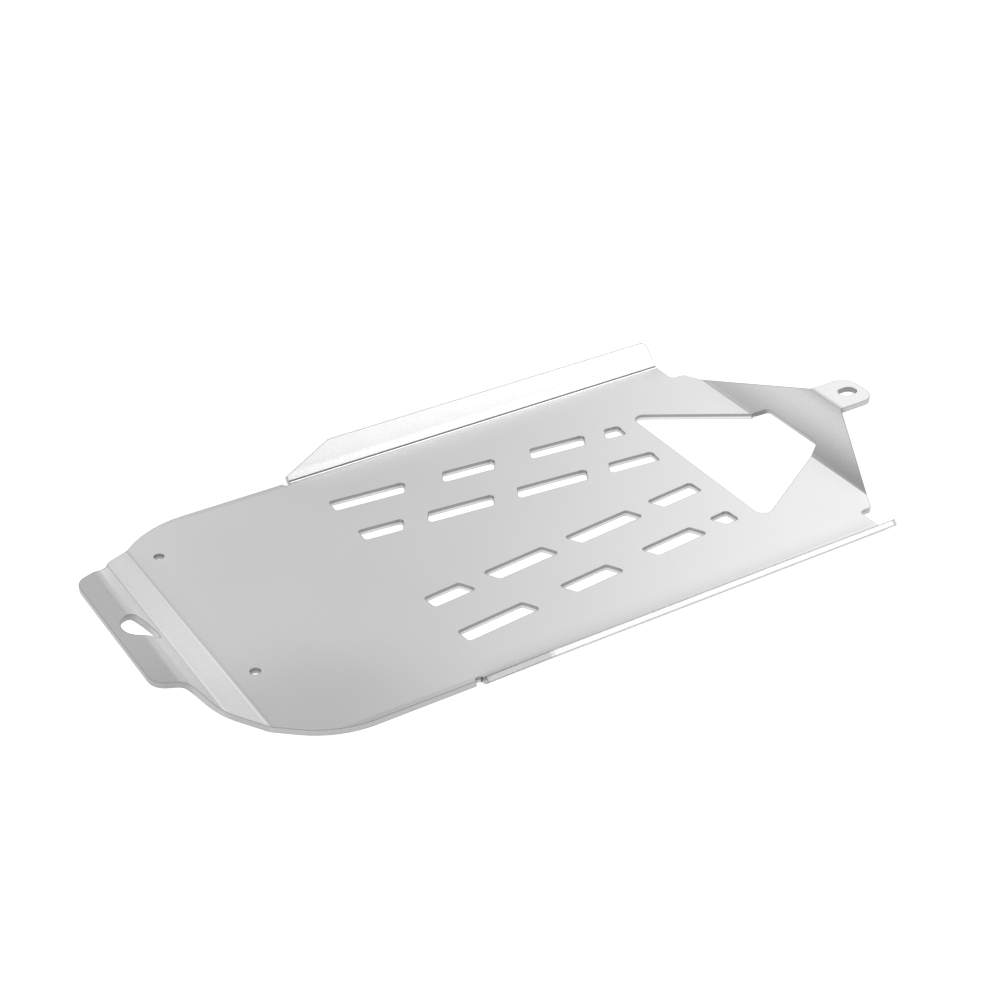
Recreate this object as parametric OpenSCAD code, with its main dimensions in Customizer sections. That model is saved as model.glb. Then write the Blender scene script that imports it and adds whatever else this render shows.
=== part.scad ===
// Motorcycle belly pan: one aluminium sheet, cut and bent, with a stepped nose,
// two side flanges, two rows of slots on each half and a fastening tab at the rear.
// Stations are measured rearward from the front fold; heights from the top face of the panel.

/* [Shown] */
// Node to draw, or all

/* [Sheet] */
// Sheet thickness
sheet = 4; // [2:0.5:6]
// Inside radius of the sharp folds
fold_r = 4; // [1:0.5:8]
// Half width between the two side bends
half_width = 125; // [90:1:160]
// Station of the rear fold
rear_fold = 450.5; // [380:0.5:520]

/* [Nose] */
// How far the nose sits to the right of the middle
nose_offset = 3.5; // [-15:0.5:15]
// Rise of the strip in front of the front fold, degrees
strip_rise = 21; // [5:1:40]
// Length of the strip, from fold to fold
strip_len = 23.6; // [15:0.1:40]
// Rise of the step that follows, degrees
step_rise = 48; // [25:1:70]
// Length of the step, from corner to corner
step_len = 16.5; // [10:0.1:30]
// Radius of the hollow at the foot of the step
step_foot_r = 10; // [3:0.5:16]
// Inside radius under the top of the step
step_top_r = 8; // [3:0.5:16]
// Rise of the lip, degrees
lip_rise = 3; // [0:1:20]
// Length of the lip from the top corner of the step
lip_len = 17.6; // [10:0.1:40]
// Half width of the lip at its front edge
lip_half = 58; // [40:1:90]
// Half width where the lip meets the slanted side
lip_root_half = 65.4; // [40:0.1:90]
// Distance of that corner in front of the front fold
lip_root = 31.5; // [20:0.5:60]
// Radius in that corner
lip_root_r = 10; // [2:0.5:16]
// Corner radius of the lip
lip_corner_r = 11.5; // [2:0.5:20]
// Radius of the hole through the lip and the step
nose_hole_r = 12.3; // [6:0.1:20]
// Distance of its centre in front of the front fold
nose_hole = 33.8; // [25:0.1:45]
// Height of that centre above the panel
nose_hole_up = 15.3; // [5:0.1:25]
// Lean of the hole to the rear, square to the bend that it crosses, degrees
nose_hole_lean = 20; // [0:1:40]

/* [Panel outline] */
// Half width of the panel in front of the side flanges
front_half = 125.3; // [90:0.1:160]
// Radius of the large front corners
front_corner_r = 67; // [20:1:100]
// Angle of the sides between the large corners and the step, degrees
front_side = 40; // [20:1:60]
// Distance in front of the front fold of the corner that ends these sides
strip_corner = 18.8; // [5:0.2:25]
// Half width at that corner
strip_corner_half = 87.4; // [70:0.2:110]
// Radius of that corner
strip_corner_r = 25; // [5:1:60]
// Station where the side flange and the square rear shoulder end
shoulder = 432.5; // [380:0.5:500]
// Half width at the foot of the shoulder
shoulder_half = 105; // [80:0.5:120]
// Radius of the two corners of the shoulder
shoulder_r = 4; // [1:0.5:12]
// Half width at the rear fold
rear_fold_half = 92; // [60:0.5:110]

/* [Side flanges] */
// Flange angle above the panel, degrees
flange_rise = 45; // [20:1:90]
// Flange height along its slope
flange_len = 21; // [10:0.5:50]
// Inside radius of the side bends
flange_r = 4; // [1:0.5:10]
// Station of the front end of the flange
flange_front = 126; // [80:0.5:200]
// Station where the long front bevel reaches full height
flange_full = 164; // [100:0.5:260]
// Flange height at its front end
flange_start = 4.7; // [2:0.1:15]
// Radius where the bevel meets the full height
flange_bevel_r = 8; // [1:1:20]
// Rear corner radius of the flange
flange_corner_r = 5; // [1:0.5:12]
// Radius of the relief notch in front of the flange
relief_r = 2.4; // [1:0.1:5]

/* [Slots] */
// Slot width
slot_width = 12.5; // [6:0.5:25]
// Corner radius of the slots
slot_corner_r = 2.5; // [0.5:0.5:6]
// Slant of the slot ends that face each other, degrees
slot_slant = 25; // [0:1:45]
// Angle at which the rows close in toward the rear, degrees
row_angle = 5.25; // [0:0.25:15]
// Station where the rows start
row_start = 137; // [80:1:250]
// Half width of the outer row at its start
outer_row = 84; // [50:1:110]
// Half width of the inner row at its start
inner_row = 43.5; // [15:0.5:80]

/* [Small holes] */
// Diameter of the two holes behind the front fold
small_hole_d = 6.5; // [4:0.5:12]
// Station of the two holes
small_hole = 15; // [8:1:40]
// Place of the right hole across the panel
small_hole_right = 90; // [40:1:100]
// Place of the left hole across the panel
small_hole_left = -49; // [-100:1:-20]

/* [Rear opening] */
// Station of the front edge of the opening
opening_front = 373.8; // [330:0.5:420]
// Half width of the front edge, measured to the sharp corners
opening_half = 79; // [40:1:100]
// Half width of the opening where it crosses the rear fold
opening_fold_half = 33.7; // [15:0.5:70]
// How far the opening runs up the rear flange
opening_rise = 10.8; // [4:0.1:25]
// Radius of the front corners of the opening
opening_front_r = 7; // [2:0.5:20]
// Radius of the rear corners of the opening
opening_rear_r = 5; // [2:0.5:15]

/* [Rear flange and tab] */
// Rise of the rear flange, degrees
rear_rise = 24; // [10:1:60]
// Length of the rear flange, from fold to tab
rear_len = 43; // [25:0.5:80]
// Half width of the tab
tab_half = 16.5; // [8:0.5:30]
// Length of the tab from its bend
tab_len = 33; // [15:0.5:60]
// Corner radius of the tab
tab_corner_r = 11; // [2:0.5:16]
// Radius in the corners where the tab meets the rear flange
tab_root_r = 2; // [0.5:0.5:8]
// Radius inside the tab bend
tab_bend_r = 4; // [1:0.5:12]
// Width of the slotted hole in the tab
tab_slot_width = 10.5; // [5:0.5:16]
// Length of the slotted hole, end to end
tab_slot_len = 14.5; // [6:0.5:26]
// Distance of the slotted hole from the tab bend
tab_slot = 20; // [10:0.5:40]

/* [Hidden] */
$fn = 96;
// outer row and inner row: [start, end] of each slot, measured along the row
outer_slots = [[0, 53], [81.5, 121], [149, 192], [208.5, 222.5]];
inner_slots = [[0, 30], [48, 96.5], [114.5, 168], [185.5, 222.5]];
// room by which bodies reach beyond what they cut or are trimmed by
over = 40;
// how far the cut in the panel runs past the rear fold
fold_past = 2;
// how far corner pieces reach past the sides of their corner
reach = 1;
// extra radius that lets every arc cross its two sides cleanly
slack = 0.005;
// tangent length of the side bends, on the top face
flange_tan = flange_r * tan(flange_rise / 2);
// stations of the nose edge, the tab bend and the rear end
nose_end = -(strip_len * cos(strip_rise) + step_len * cos(step_rise) + lip_len * cos(lip_rise));
tab_bend = rear_fold + rear_len * cos(rear_rise);
tab_top = rear_len * sin(rear_rise);
rear_end = tab_bend + tab_len;
middle = (nose_end + rear_end) / 2;
// half width of the flat panel, where the side bends start
panel_half = half_width - flange_tan;
sheet_color = [0.80, 0.81, 0.82];

function unit(v) = v / norm(v);

// closed outline with rounded corners, points [x, y, radius] counter-clockwise
module rounded(points) {
    n = len(points);
    at = [for (p = points) [p[0], p[1]]];
    r = [for (p = points) p[2]];
    back = [for (i = [0 : n - 1]) unit(at[(i + n - 1) % n] - at[i])];
    ahead = [for (i = [0 : n - 1]) unit(at[(i + 1) % n] - at[i])];
    convex = [for (i = [0 : n - 1]) cross(-back[i], ahead[i]) > 0];
    difference() {
        union() {
            polygon(at);
            for (i = [0 : n - 1]) if (!convex[i] && r[i] > 0) beside_arc(at[i], back[i], ahead[i], r[i]);
        }
        for (i = [0 : n - 1]) if (convex[i] && r[i] > 0) beside_arc(at[i], back[i], ahead[i], r[i]);
    }
}

// what lies between a corner and its arc, reaching past both sides of the corner
module beside_arc(corner, back, ahead, r) {
    half = acos(back * ahead) / 2;
    bisector = unit(back + ahead);
    centre = corner + bisector * r / sin(half);
    first = corner + back * r / tan(half);
    last = corner + ahead * r / tan(half);
    out_first = unit(first - centre);
    out_last = unit(last - centre);
    difference() {
        polygon([
            first - out_first * r / 5,
            first + out_first * reach,
            corner - bisector * 2 * reach,
            last + out_last * reach,
            last - out_last * r / 5
        ]);
        translate(centre) circle(r = r + slack);
    }
}

// region under a bent line, points [x, height, radius] from left to right
module under(line, floor_at) {
    n = len(line);
    rounded(concat(
        [[line[0][0], floor_at, 0], [line[n - 1][0], floor_at, 0]],
        [for (i = [n - 1 : -1 : 0]) line[i]]
    ));
}

// line one sheet thickness below another; a bend keeps its centre
function down(d) = [d[1], -d[0]];
function flat(p) = [p[0], p[1]];
function below(line) = [for (i = [0 : len(line) - 1])
    let (
        n = len(line),
        here = flat(line[i]),
        into = unit(i > 0 ? here - flat(line[i - 1]) : flat(line[1]) - here),
        out = unit(i < n - 1 ? flat(line[i + 1]) - here : here - flat(line[n - 2])),
        a = down(into),
        b = down(out),
        place = here + (a + b) * sheet / (1 + a * b),
        hollow = cross(into, out) > 0
    )
    [place[0], place[1], line[i][2] == 0 ? 0 : line[i][2] + (hollow ? sheet : -sheet)]];

// section of the sheet whose top face follows a line
module sheet_section(line) {
    difference() {
        under(line, -over);
        under(below(line), -over - 1);
        for (end = [line[0][0], line[len(line) - 1][0]]) translate([end, 0]) square([2, 3 * over], center = true);
    }
}

// top face along the middle of the sheet, from beyond the lip to beyond the tab
foot = -strip_len * [cos(strip_rise), -sin(strip_rise)];
crest = foot - step_len * [cos(step_rise), -sin(step_rise)];
beyond_lip = crest - (lip_len + over) * [cos(lip_rise), -sin(lip_rise)];
top_line = [
    [beyond_lip[0], sheet + beyond_lip[1], 0],
    [crest[0], sheet + crest[1], step_top_r + sheet],
    [foot[0], sheet + foot[1], step_foot_r],
    [0, sheet, fold_r],
    [rear_fold, sheet, fold_r],
    [tab_bend, sheet + tab_top, tab_bend_r + sheet],
    [rear_end + over, sheet + tab_top, 0]
];

// top face across a side bend, from inside the panel to beyond the flange edge
lap = 8;
flange_line = [
    [half_width - lap, sheet, 0],
    [half_width, sheet, flange_r],
    [half_width + 2 * flange_len * cos(flange_rise), sheet + 2 * flange_len * sin(flange_rise), 0]
];

// one side of the outline seen from above, from the tab to the lip; way is 1 on the right, -1 on the left
function outline_side(way) =
    let (
        slant = (shoulder_half - rear_fold_half) / tan(60),
        rise = front_half - way * nose_offset - strip_corner_half,
        front_corner = rise / tan(front_side) - strip_corner,
        notch = flange_front - relief_r
    ) [
        [rear_end, way * tab_half, tab_corner_r],
        [tab_bend, way * tab_half, tab_root_r],
        [rear_fold, way * rear_fold_half, 0],
        [rear_fold - slant, way * shoulder_half, shoulder_r],
        [shoulder, way * shoulder_half, shoulder_r],
        [shoulder, way * panel_half, 0],
        [notch, way * panel_half, 0],
        [notch, way * front_half, 0],
        [front_corner, way * front_half, front_corner_r],
        [-strip_corner, nose_offset + way * strip_corner_half, strip_corner_r],
        [-lip_root, nose_offset + way * lip_root_half, lip_root_r],
        [nose_end, nose_offset + way * lip_half, lip_corner_r]
    ];

// outline of the sheet seen from above, without the side flanges
module plan_outline() {
    left = outline_side(-1);
    n = len(left);
    rounded(concat(outline_side(1), [for (i = [n - 1 : -1 : 0]) left[i]]));
}

// one slot in the frame of its row
module slot(from, to, first, last) {
    w = slot_width / 2;
    lean = w * tan(slot_slant);
    a = first ? 0 : lean;
    b = last ? 0 : lean;
    r = slot_corner_r;
    rounded([[from - a, -w, r], [to - b, -w, r], [to + b, w, r], [from + a, w, r]]);
}

// one row of slots on the right half
module slot_row(half, slots) {
    n = len(slots);
    translate([row_start, half]) rotate(-row_angle)
        for (i = [0 : n - 1]) slot(slots[i][0], slots[i][1], i == 0, i == n - 1);
}

module right_slots() {
    slot_row(outer_row, outer_slots);
    slot_row(inner_row, inner_slots);
}

module all_slots() {
    right_slots();
    mirror([0, 1]) right_slots();
}

// opening in the panel, run on past the rear fold
module opening_in_panel() {
    lean = (opening_half - opening_fold_half) / (rear_fold - opening_front);
    back = rear_fold + fold_past;
    back_half = opening_fold_half - fold_past * lean;
    rounded([
        [opening_front, opening_half, opening_front_r],
        [opening_front, -opening_half, opening_front_r],
        [back, -back_half, 0],
        [back, back_half, 0]
    ]);
}

// opening in the rear flange, in the plane of the flange, from the rear fold
module opening_in_flange() {
    lean = (opening_half - opening_fold_half) / (rear_fold - opening_front);
    end_half = opening_fold_half - opening_rise * lean;
    rounded([
        [opening_rise, -end_half, opening_rear_r],
        [opening_rise, end_half, opening_rear_r],
        [0, opening_fold_half, 0],
        [0, -opening_fold_half, 0]
    ]);
}

module tab_hole() {
    straight = tab_slot_len - tab_slot_width;
    translate([tab_bend + tab_slot, 0]) {
        square([straight, tab_slot_width], center = true);
        for (x = [-1, 1]) translate([x * straight / 2, 0]) circle(d = tab_slot_width);
    }
}

// everything cut straight down through the sheet
module cuts_from_above() {
    all_slots();
    opening_in_panel();
    tab_hole();
    for (y = [small_hole_left, small_hole_right]) translate([small_hole, y]) circle(d = small_hole_d);
    for (s = [-1, 1]) translate([flange_front - relief_r, s * half_width]) circle(r = relief_r);
}

// folded sheet without its side flanges
module folded_strip() {
    difference() {
        intersection() {
            rotate([90, 0, 0]) linear_extrude(2 * half_width + over, center = true) sheet_section(top_line);
            translate([0, 0, -over]) linear_extrude(2 * over) plan_outline();
        }
        translate([0, 0, -over]) linear_extrude(2 * over) cuts_from_above();
        translate([-nose_hole, nose_offset, sheet + nose_hole_up]) rotate([0, nose_hole_lean, 0])
            cylinder(r = nose_hole_r, h = over, center = true);
        translate([rear_fold, 0, sheet]) rotate([0, -rear_rise, 0])
            translate([0, 0, -over / 2]) linear_extrude(over) opening_in_flange();
    }
}

// outline of a side flange in its own plane, heights along the slope
module flange_outline() {
    rounded([
        [flange_front, -flange_len, 0],
        [shoulder, -flange_len, 0],
        [shoulder, flange_len, flange_corner_r],
        [flange_full, flange_len, flange_bevel_r],
        [flange_front, flange_start, 0]
    ]);
}

// side flange of the right half with its bend, lapped into the panel
module side_flange() {
    intersection() {
        translate([flange_front - lap, 0, 0]) rotate([90, 0, 90])
            linear_extrude(shoulder - flange_front + 2 * lap) sheet_section(flange_line);
        translate([0, half_width, sheet]) rotate([flange_rise, 0, 0])
            linear_extrude(2 * over, center = true) flange_outline();
    }
}

module belly_pan() {
    color(sheet_color) translate([-middle, 0, 0]) {
        folded_strip();
        side_flange();
        mirror([0, 1, 0]) side_flange();
    }
}

belly_pan();
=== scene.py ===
"""Looks for a motorcycle belly pan: one folded sheet of satin aluminium on a pale floor."""

import math

import bpy
from mathutils import Euler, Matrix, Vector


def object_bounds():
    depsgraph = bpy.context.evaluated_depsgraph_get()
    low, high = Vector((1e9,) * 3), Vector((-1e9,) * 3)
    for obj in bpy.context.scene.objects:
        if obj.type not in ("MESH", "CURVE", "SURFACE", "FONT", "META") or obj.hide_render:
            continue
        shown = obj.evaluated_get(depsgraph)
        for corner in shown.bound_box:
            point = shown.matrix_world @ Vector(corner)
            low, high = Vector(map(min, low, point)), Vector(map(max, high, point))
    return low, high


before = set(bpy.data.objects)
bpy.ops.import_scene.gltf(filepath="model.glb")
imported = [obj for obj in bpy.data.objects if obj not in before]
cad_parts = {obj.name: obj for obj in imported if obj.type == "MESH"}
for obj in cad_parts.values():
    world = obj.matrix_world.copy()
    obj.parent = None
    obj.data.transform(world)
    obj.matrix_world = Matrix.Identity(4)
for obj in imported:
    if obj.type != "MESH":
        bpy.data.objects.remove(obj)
cad_box = [list(v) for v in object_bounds()]

# Places on the part, in metres from its middle: X runs to the rear, Y to the far side and Z up
FRONT_END, REAR_END, SIDE_END = cad_box[0][0], cad_box[1][0], cad_box[1][1]
FRONT_FOLD = FRONT_END + 0.0502
STEP_FOLD = FRONT_END + 0.0304
LIP_BEND = (FRONT_END + 0.0157, FRONT_END + 0.0227)
FRONT_FADE = (FRONT_END + 0.0467, FRONT_END + 0.2267)
NEAR_FADE = (-0.125, 0.010)
SIDE_FOLD = SIDE_END - 0.0172
FLANGE = (SIDE_FOLD + 0.0015, SIDE_FOLD + 0.0025)
REAR_FOLD = REAR_END - 0.0717
REAR_FOOT = (REAR_FOLD, REAR_FOLD - 0.0005)
REAR_RISE = (REAR_FOLD, REAR_FOLD + 0.0290)
REAR_SIDES = (-0.090, 0.090)
TAB_BEND = (REAR_END - 0.0402, REAR_END - 0.0347)
TAB_START = (REAR_END - 0.0322, REAR_END - 0.0297)
CUTOUTS_ALONG = (-0.171, REAR_FOLD + 0.011)
CUTOUTS_ACROSS = (-0.093, 0.093)
CUTOUTS_FADE = 0.001
WALL_MIDDLE = (0.0014, 0.0022)

# Half width and fade of the rubbed bands and of the painted shade lines along the folds, in metres
SIDE_BURNISH = (0.003, 0.002)
SIDE_CREASE = (0.0001, 0.0004)
CROSS_BURNISH = (0.0012, 0.001)
CROSS_CREASE = (0.0001, 0.0003)
STRIP_FADE = 0.0004

# The metal: colours of the grain, of the painted shade in fine lines at the folds and of the painted shade
# along the edges
GRAIN_LIGHT = (0.93, 0.93, 0.93)
GRAIN_DARK = (0.77, 0.773, 0.776)
GRAIN_SPAN = (0.30, 0.70)
GRAIN_SCALE, GRAIN_ROUGHNESS = 1500.0, 0.6
GRAIN_STRENGTH, GRAIN_HEIGHT = 0.08, 0.0002
CREASE_SHADE_COLOUR = (0.58, 0.58, 0.59)
RIM_SHADE_COLOUR = (0.33, 0.33, 0.335)
FLANGE_RIM_SHADE_COLOUR = (0.05, 0.05, 0.051)
RIM_WIDTH = 0.0014
RIM_TURN = (0.955, 0.84)
RIM_SAMPLES = 6
# Its roughness, in soft clouds, and where a fold has rubbed it smooth
CLOUD_SPAN = (0.3, 0.7)
CLOUD_SCALE, CLOUD_ROUGHNESS = 14.0, 0.5
NOISE_DETAIL = 2.0
ROUGH_LOW, ROUGH_HIGH = 0.29, 0.33
BURNISHED = 0.16
# Painted shade and painted light, as factors of the plain sheet
HOLLOW_SHADE = 0.27
LIP_SHADE = 0.77
CORNER_SHADE = 0.84
STRIP_SHADE = 0.96
REAR_NEAR_SHADE, REAR_FAR_SHADE = 0.50, 0.70
TAB_BEND_SHADE = 0.86
CUT_LOW_LIGHT, CUT_HIGH_SHADE, CUT_OUTSIDE_SHADE = 1.25, 0.50, 0.80
CORNER_SPAN = (0.0, 0.9)
# How open a place is to its surroundings, from 0 to 1, and how far an upright wall may lean
HOLLOW_REACH = 0.02
HOLLOW_SAMPLES = 12
HOLLOW_SPAN = (0.40, 1.0)
ENCLOSED_SPAN = (0.90, 0.80)
WALL_LEAN = (0.25, 0.2)

# The floor and the backdrop around it
FLOOR_SIZE = 30
FLOOR_DROP = 0.0005
FLOOR_GREY = 0.25
FLOOR_ROUGHNESS = 0.9
FLOOR_GLOW = 0.95
BACKDROP_RADIUS = 14
BACKDROP_SIDES = 64
BACKDROP_HEIGHT = 20
BACKDROP_MIDDLE = 9.9

# The light: levels over the cosine from the bright heading, and over the height, both -1 to 1
HEADING = math.radians(-30)
LIGHT_SCALE = 1.6
SIDE_LEVELS = (
    (-1.0, 0.64), (-0.30, 0.62), (-0.08, 0.36), (0.02, 0.39),
    (0.22, 0.76), (0.45, 0.68), (0.60, 0.55), (1.0, 0.50),
)
SKY_LEVELS = (
    (0.0, 0.52), (0.12, 0.56), (0.26, 0.98), (0.38, 0.94), (0.45, 0.94),
    (0.55, 1.0), (0.72, 0.97), (0.80, 0.85), (0.95, 0.40),
)
FLOOR_LEVELS = ((-1.0, 0.60), (0.0, 0.56), (0.5, 0.54), (1.0, 0.54))
HORIZON = 0.08
# Azimuth, elevation, inner and outer radius in degrees, then the level
DARK_PATCH = (-12, 62, 8, 17)
DARK_LEVEL = 0.35
REAR_LAMP = (38, 57, 4, 10)
REAR_LAMP_LEVEL = 1.5
FLANGE_LAMP = (-40, 43, 6, 18)
FLANGE_LAMP_LEVEL = 0.75

CAMERA_LENS = 70.346
CAMERA_SENSOR = 36
CAMERA_CLIP = (0.01, 50)
CAMERA_PLACE = (-0.58751, -0.89308, 0.71882)
CAMERA_TURN = (56.8878, -0.4156, -32.1595)


class Graph:
    """A node tree, with short ways to add and link shader nodes."""

    mix_sockets = {"FLOAT": (2, 3, 0), "RGBA": (6, 7, 2)}

    def __init__(self, tree):
        self.tree = tree
        tree.nodes.clear()

    def add(self, kind, **settings):
        """Adds a node and sets its options, not its sockets."""
        node = self.tree.nodes.new(kind)
        for name, value in settings.items():
            setattr(node, name, value)
        return node

    def put(self, socket, value):
        """Links a socket to another one, or sets it to a plain value."""
        if isinstance(value, bpy.types.NodeSocket):
            self.tree.links.new(value, socket)
        else:
            socket.default_value = value

    def fill(self, node, values):
        """Puts values in the named sockets of a node."""
        for name, value in values.items():
            self.put(node.inputs[name], value)
        return node

    def calculate(self, operation, *values):
        node = self.add("ShaderNodeMath", operation=operation)
        for socket, value in zip(node.inputs, values):
            self.put(socket, value)
        return node.outputs["Value"]

    def product(self, first, *others):
        for other in others:
            first = self.calculate("MULTIPLY", first, other)
        return first

    def dot(self, first, second):
        node = self.add("ShaderNodeVectorMath", operation="DOT_PRODUCT")
        self.put(node.inputs[0], first)
        self.put(node.inputs[1], second)
        return node.outputs["Value"]

    def axes(self, vector):
        """The three coordinates of a vector."""
        node = self.add("ShaderNodeSeparateXYZ")
        self.put(node.inputs[0], vector)
        return node.outputs

    def remap(self, value, span, low, high, interpolation="LINEAR"):
        """Runs from low to high while value goes through the span, and stays there beyond it."""
        node = self.add("ShaderNodeMapRange", interpolation_type=interpolation)
        sockets = {"Value": value, "From Min": span[0], "From Max": span[1], "To Min": low, "To Max": high}
        return self.fill(node, sockets).outputs["Result"]

    def slope(self, value, span, low, high):
        """Like remap, with soft ends."""
        return self.remap(value, span, low, high, "SMOOTHSTEP")

    def near(self, value, centre, half, fade):
        """One where value lies within half of centre, fading to zero over fade."""
        away = self.calculate("ABSOLUTE", self.calculate("SUBTRACT", value, centre))
        return self.remap(away, (half, half + fade), 1.0, 0.0)

    def within(self, value, span, fade):
        """One inside the span, fading to zero at both of its ends."""
        start, end = span
        return self.near(value, (start + end) / 2, (end - start) / 2 - fade, fade)

    def mix(self, kind, factor, first, second):
        """First where factor is zero, second where it is one."""
        node = self.add("ShaderNodeMix", data_type=kind)
        first_at, second_at, result_at = self.mix_sockets[kind]
        self.put(node.inputs["Factor"], factor)
        self.put(node.inputs[first_at], first)
        self.put(node.inputs[second_at], second)
        return node.outputs[result_at]

    def ramp(self, value, stops):
        """Blends colours between stops, each a position and a colour."""
        node = self.fill(self.add("ShaderNodeValToRGB"), {"Fac": value})
        elements = node.color_ramp.elements
        stops = list(stops)
        while len(elements) < len(stops):
            elements.new(0.5)
        for element, (position, colour) in zip(elements, stops):
            element.position = position
            element.color = colour
        return node.outputs["Color"]


def opaque(colour):
    return (*colour, 1)


def fold_rubbing_and_shade(g, x, side):
    """Masks along the folds: metal rubbed smooth at a fold, and a fine line of painted shade at it."""
    burnish = g.near(side, SIDE_FOLD, *SIDE_BURNISH)
    crease_shade = g.near(side, SIDE_FOLD, *SIDE_CREASE)
    for fold in (FRONT_FOLD, STEP_FOLD, REAR_FOLD):
        burnish = g.calculate("MAXIMUM", burnish, g.near(x, fold, *CROSS_BURNISH))
        crease_shade = g.calculate("MAXIMUM", crease_shade, g.near(x, fold, *CROSS_CREASE))
    return burnish, crease_shade


def painted_sheet_shade(g, x, y):
    """Painted shade on the sheet from place to place: darker at the nose, its near corner and the strip
    between its folds, at the foot of the rear flange and more on its near side, and at the tab bend.
    """
    lip = g.slope(x, LIP_BEND, LIP_SHADE, 1.0)
    front = g.slope(x, FRONT_FADE, 1.0, 0.0)
    near_side = g.slope(y, NEAR_FADE, 1.0, 0.0)
    corner = g.slope(g.product(front, near_side), CORNER_SPAN, 1.0, CORNER_SHADE)
    foot = g.slope(x, REAR_FOOT, 0.0, 1.0)
    rise = g.slope(x, REAR_RISE, 0.0, 1.0)
    rear = g.slope(y, REAR_SIDES, REAR_NEAR_SHADE, REAR_FAR_SHADE)
    lift = g.mix("FLOAT", g.calculate("MAXIMUM", foot, rise), rear, 1.0)
    bend = g.slope(x, TAB_BEND, 1.0, TAB_BEND_SHADE)
    after = g.slope(x, TAB_START, 0.0, 1.0)
    turn = g.calculate("MAXIMUM", bend, after)
    strip = g.slope(g.within(x, (STEP_FOLD, FRONT_FOLD), STRIP_FADE), (0.0, 1.0), 1.0, STRIP_SHADE)
    return g.product(lip, corner, lift, turn, strip)


def painted_wall_light(g, x, y, z, openness):
    """Painted light and shade on the cut edges: light outside, painted shade above and painted light below
    in the cut-outs.
    """
    normal = g.add("ShaderNodeNewGeometry").outputs["Normal"]
    wall = g.near(g.axes(normal)["Z"], 0.0, *WALL_LEAN)
    across = g.within(y, CUTOUTS_ACROSS, CUTOUTS_FADE)
    along = g.within(x, CUTOUTS_ALONG, CUTOUTS_FADE)
    enclosed = g.slope(openness, ENCLOSED_SPAN, 0.0, 1.0)
    inside = g.calculate("MAXIMUM", g.product(across, along), enclosed)
    inner = g.slope(z, WALL_MIDDLE, CUT_LOW_LIGHT, CUT_HIGH_SHADE)
    cut = g.mix("FLOAT", inside, CUT_OUTSIDE_SHADE, inner)
    return g.mix("FLOAT", wall, 1.0, cut)


def rim_mask(g):
    """One where the surface turns away close by, along every edge: the mask for the painted shade on the
    rims.
    """
    rim = g.fill(g.add("ShaderNodeBevel", samples=RIM_SAMPLES), {"Radius": RIM_WIDTH})
    normal = g.add("ShaderNodeNewGeometry").outputs["Normal"]
    return g.remap(g.dot(rim.outputs["Normal"], normal), RIM_TURN, 0.0, 1.0)


def noise(g, place, scale, roughness):
    sockets = {"Vector": place, "Scale": scale, "Detail": NOISE_DETAIL, "Roughness": roughness}
    return g.fill(g.add("ShaderNodeTexNoise"), sockets).outputs["Fac"]


def satin_aluminium():
    """Bead-finished aluminium: fine grain, cloudy roughness, and painted shade and light in its colour: in
    the hollows, along the folds and edges, on the cut walls and from place to place on the sheet.
    """
    metal = bpy.data.materials.new("satin_aluminium")
    metal.use_nodes = True
    g = Graph(metal.node_tree)
    place = g.add("ShaderNodeTexCoord").outputs["Object"]
    x, y, z = g.axes(place)
    side = g.calculate("ABSOLUTE", y)
    burnish, crease_shade = fold_rubbing_and_shade(g, x, side)
    grain = noise(g, place, GRAIN_SCALE, GRAIN_ROUGHNESS)
    cloud = noise(g, place, CLOUD_SCALE, CLOUD_ROUGHNESS)
    hollow = g.add("ShaderNodeAmbientOcclusion", only_local=True, samples=HOLLOW_SAMPLES)
    g.fill(hollow, {"Distance": HOLLOW_REACH})
    openness = hollow.outputs["AO"]
    # Painted light and shade: the tone of the sheet from place to place times that of its cut walls
    painted_light_and_shade = g.product(painted_sheet_shade(g, x, y), painted_wall_light(g, x, y, z, openness))
    # Painted shade in the hollows: the colour darkens where the sheet is closed in
    depth = g.remap(openness, HOLLOW_SPAN, HOLLOW_SHADE, painted_light_and_shade)
    shade = g.add("ShaderNodeVectorMath", operation="SCALE")
    g.put(shade.inputs[0], g.ramp(grain, zip(GRAIN_SPAN, (opaque(GRAIN_DARK), opaque(GRAIN_LIGHT)))))
    g.put(shade.inputs["Scale"], depth)

    # Painted shade: a fine dark line along each fold
    crease_shaded = g.mix("RGBA", crease_shade, shade.outputs["Vector"], opaque(CREASE_SHADE_COLOUR))
    # Painted shade along every edge, nearly black on the flange rims
    on_flange = g.slope(side, FLANGE, 0.0, 1.0)
    rim_shade = g.mix("RGBA", on_flange, opaque(RIM_SHADE_COLOUR), opaque(FLANGE_RIM_SHADE_COLOUR))
    colour = g.mix("RGBA", rim_mask(g), crease_shaded, rim_shade)
    rough = g.mix("FLOAT", burnish, g.remap(cloud, CLOUD_SPAN, ROUGH_LOW, ROUGH_HIGH), BURNISHED)
    bump = g.add("ShaderNodeBump")
    g.fill(bump, {"Height": grain, "Strength": GRAIN_STRENGTH, "Distance": GRAIN_HEIGHT})
    shader = g.add("ShaderNodeBsdfPrincipled")
    g.fill(shader, {"Metallic": 1.0, "Base Color": colour, "Roughness": rough})
    g.fill(shader, {"Normal": bump.outputs["Normal"]})
    g.fill(g.add("ShaderNodeOutputMaterial"), {"Surface": shader.outputs["BSDF"]})
    return metal


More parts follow.
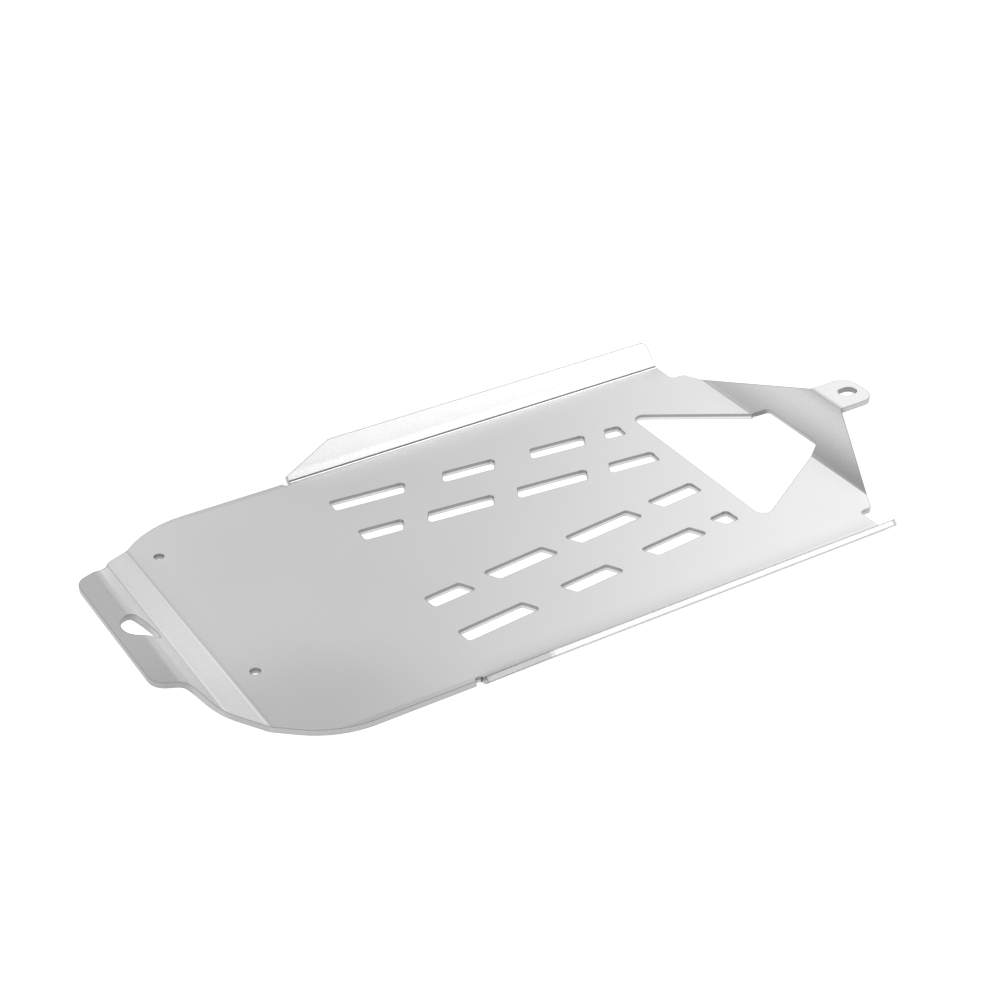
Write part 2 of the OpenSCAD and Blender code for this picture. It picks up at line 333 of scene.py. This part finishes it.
def pale_floor():
    """A matt white that glows a little, so that it stays plain around the part."""
    paint = bpy.data.materials.new("pale_floor")
    paint.use_nodes = True
    g = Graph(paint.node_tree)
    shader = g.add("ShaderNodeBsdfPrincipled")
    g.fill(shader, {"Base Color": opaque((FLOOR_GREY,) * 3), "Roughness": FLOOR_ROUGHNESS})
    g.fill(shader, {"Emission Color": opaque((1, 1, 1)), "Emission Strength": FLOOR_GLOW})
    g.fill(shader, {"Specular IOR Level": 0.0})
    g.fill(g.add("ShaderNodeOutputMaterial"), {"Surface": shader.outputs["BSDF"]})
    return paint


def dress_part():
    """Gives the sheet its metal in every slot of its material."""
    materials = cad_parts["belly_pan"].data.materials
    metal = satin_aluminium()
    if not materials:
        materials.append(metal)
    for slot in range(len(materials)):
        materials[slot] = metal


def lay_floor():
    """The floor, and a round backdrop that hides where the floor ends."""
    paint = pale_floor()
    bpy.ops.mesh.primitive_plane_add(size=FLOOR_SIZE, location=(0, 0, -FLOOR_DROP))
    floor = bpy.context.object
    floor.name = "floor"
    floor.data.materials.append(paint)
    floor.visible_glossy = False
    bpy.ops.mesh.primitive_cylinder_add(
        radius=BACKDROP_RADIUS, depth=BACKDROP_HEIGHT, vertices=BACKDROP_SIDES,
        end_fill_type="NOTHING", location=(0, 0, BACKDROP_MIDDLE),
    )
    backdrop = bpy.context.object
    backdrop.name = "backdrop"
    backdrop.data.materials.append(paint)
    backdrop.visible_glossy = False
    backdrop.visible_diffuse = False
    backdrop.visible_shadow = False


def bands(g, value, levels):
    """A ramp of grey levels over value, which runs from -1 to 1."""
    stops = (((at + 1) / 2, opaque((level,) * 3)) for at, level in levels)
    return g.ramp(g.remap(value, (-1.0, 1.0), 0.0, 1.0), stops)


def patch(g, way, shape):
    """One within the inner radius of a direction, zero beyond the outer radius."""
    azimuth, elevation, inner, outer = (math.radians(angle) for angle in shape)
    flat = math.cos(elevation)
    towards = (math.cos(azimuth) * flat, math.sin(azimuth) * flat, math.sin(elevation))
    return g.slope(g.dot(way, towards), (math.cos(outer), math.cos(inner)), 0.0, 1.0)


def light_studio():
    """A soft world: bright on one side, grey towards the floor, with two lamps and a dark patch."""
    world = bpy.data.worlds.new("studio")
    world.use_nodes = True
    bpy.context.scene.world = world
    g = Graph(world.node_tree)
    way = g.add("ShaderNodeTexCoord").outputs["Generated"]
    towards = g.dot(way, (math.cos(HEADING), math.sin(HEADING), 0))
    height = g.axes(way)["Z"]
    upper = g.product(bands(g, towards, SIDE_LEVELS), bands(g, height, SKY_LEVELS))
    lower = bands(g, towards, FLOOR_LEVELS)
    blend = g.mix("FLOAT", g.remap(height, (-HORIZON, HORIZON), 0.0, 1.0), lower, upper)
    dark = g.mix("FLOAT", patch(g, way, DARK_PATCH), 1.0, DARK_LEVEL)
    rear_lamp = g.product(patch(g, way, REAR_LAMP), REAR_LAMP_LEVEL)
    flange_lamp = g.product(patch(g, way, FLANGE_LAMP), FLANGE_LAMP_LEVEL)
    lamps = g.calculate("ADD", rear_lamp, flange_lamp)
    level = g.calculate("ADD", g.product(blend, LIGHT_SCALE, dark), lamps)
    sky = g.fill(g.add("ShaderNodeBackground"), {"Color": level, "Strength": 1.0})
    g.fill(g.add("ShaderNodeOutputWorld"), {"Surface": sky.outputs["Background"]})


def aim_camera():
    """The camera of the photograph, worked out from the slots of the panel."""
    data = bpy.data.cameras.new("camera")
    data.lens = CAMERA_LENS
    data.sensor_width = CAMERA_SENSOR
    data.clip_start, data.clip_end = CAMERA_CLIP
    camera = bpy.data.objects.new("camera", data)
    camera.location = CAMERA_PLACE
    camera.rotation_euler = Euler([math.radians(angle) for angle in CAMERA_TURN])
    bpy.context.scene.collection.objects.link(camera)
    bpy.context.scene.camera = camera


dress_part()
lay_floor()
light_studio()
aim_camera()
bpy.context.scene.view_settings.view_transform = "Standard"
bpy.context.scene.view_settings.look = "None"
